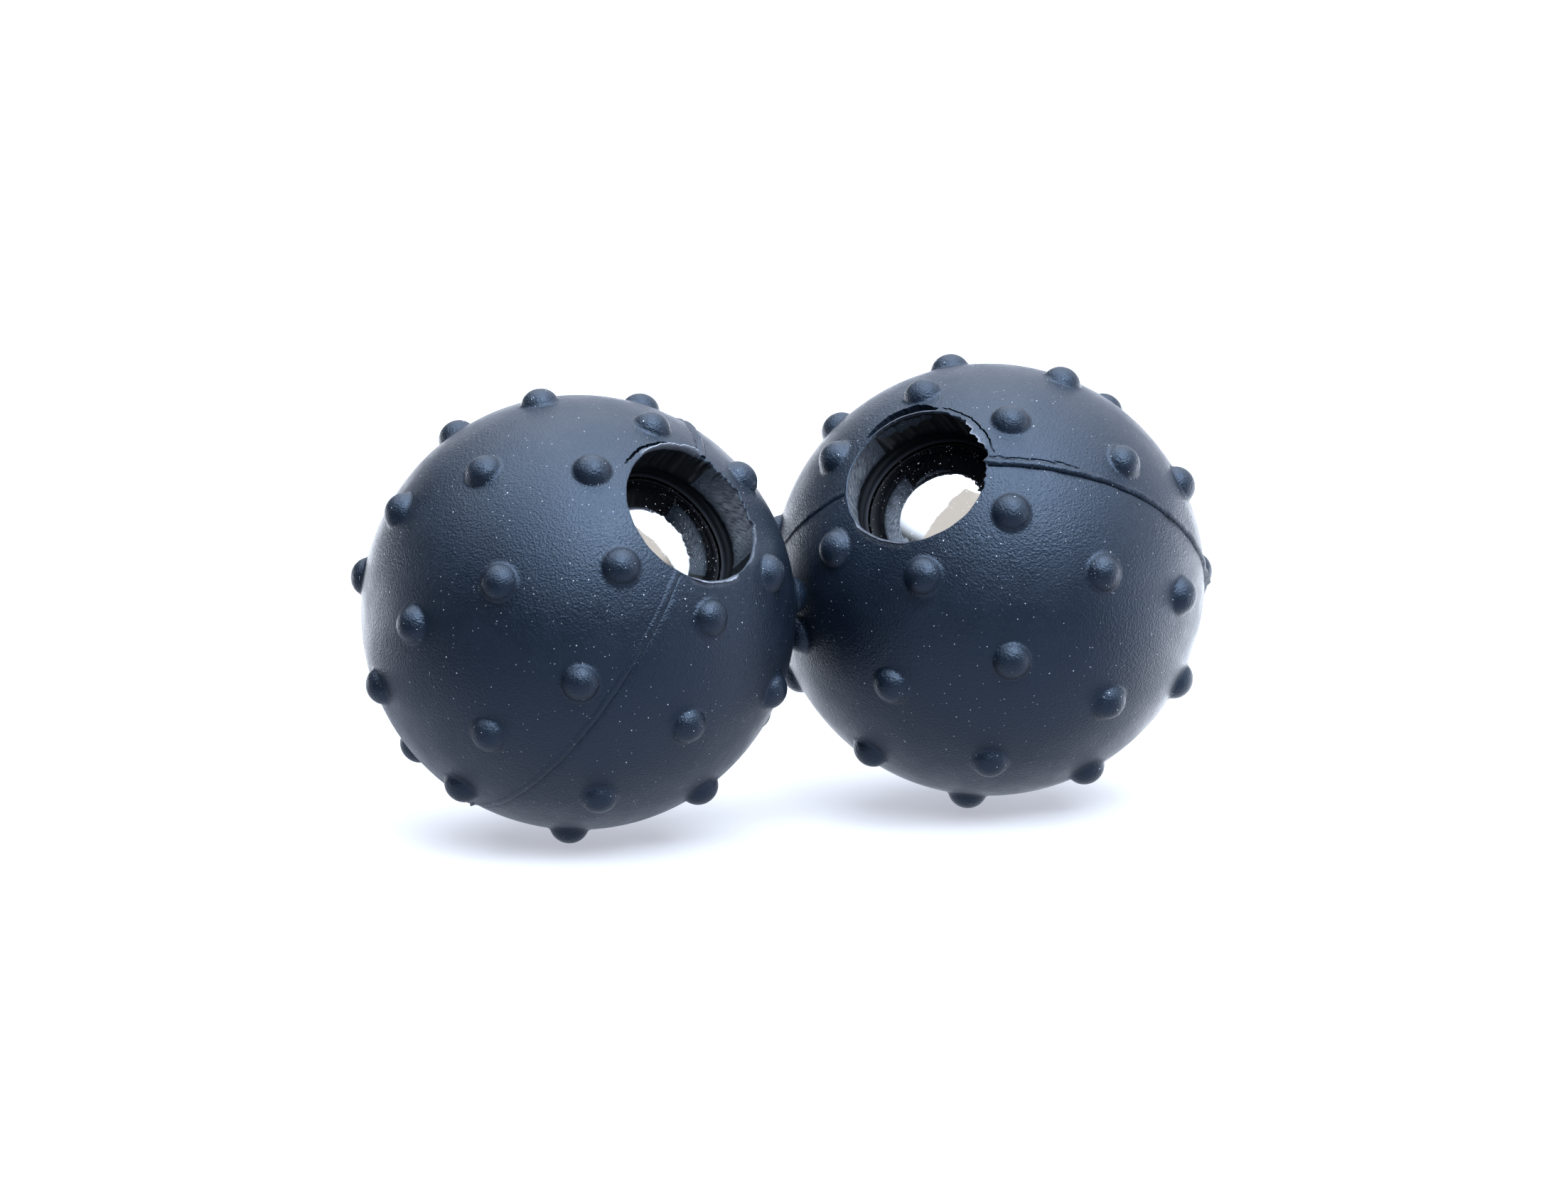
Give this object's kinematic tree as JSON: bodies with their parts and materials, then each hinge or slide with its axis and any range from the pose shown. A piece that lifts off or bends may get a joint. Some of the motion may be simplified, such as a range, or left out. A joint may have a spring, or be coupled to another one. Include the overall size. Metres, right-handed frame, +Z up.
{
  "type": "magnetic laundry ball pair",
  "caption": "Nubbed black rubber balls that cling together, each a hollow moulded skin with a round mouth over a polished metal core ball that it can turn on.",
  "frame": {"origin": "on the ground, under the point where the two balls touch", "axes": "+X from the left ball's centre to the right ball's centre, +Z up, -Y towards the side that the mouths open on"},
  "size_m": [0.0616, 0.0313, 0.0314],
  "materials": {
    "skin_rubber": "matte moulded rubber with a fine grain",
    "core_metal": "mirror polished plating"
  },
  "bodies": {
    "left_skin": {"left_skin": "skin_rubber"},
    "left_core": {"left_core": "core_metal"},
    "right_core": {"right_core": "core_metal"},
    "right_skin": {"right_skin": "skin_rubber"}
  },
  "joints": [
    {"name": "left_twist", "type": "hinge", "parent": "left_skin", "child": "left_core", "pos_m": [-0.01527, 0, 0.01568], "axis": [1, 0, 0], "range_deg": [-20, 120]},
    {"name": "balls_part", "type": "slide", "parent": "left_core", "child": "right_core", "axis": [1, 0, 0], "range_m": [0, 0.04], "stiffness_N_per_m": 10, "springref_m": -0.6},
    {"name": "right_twist", "type": "hinge", "parent": "right_core", "child": "right_skin", "pos_m": [0.01527, 0, 0.01568], "axis": [1, 0, 0], "range_deg": [-20, 120]}
  ]
}
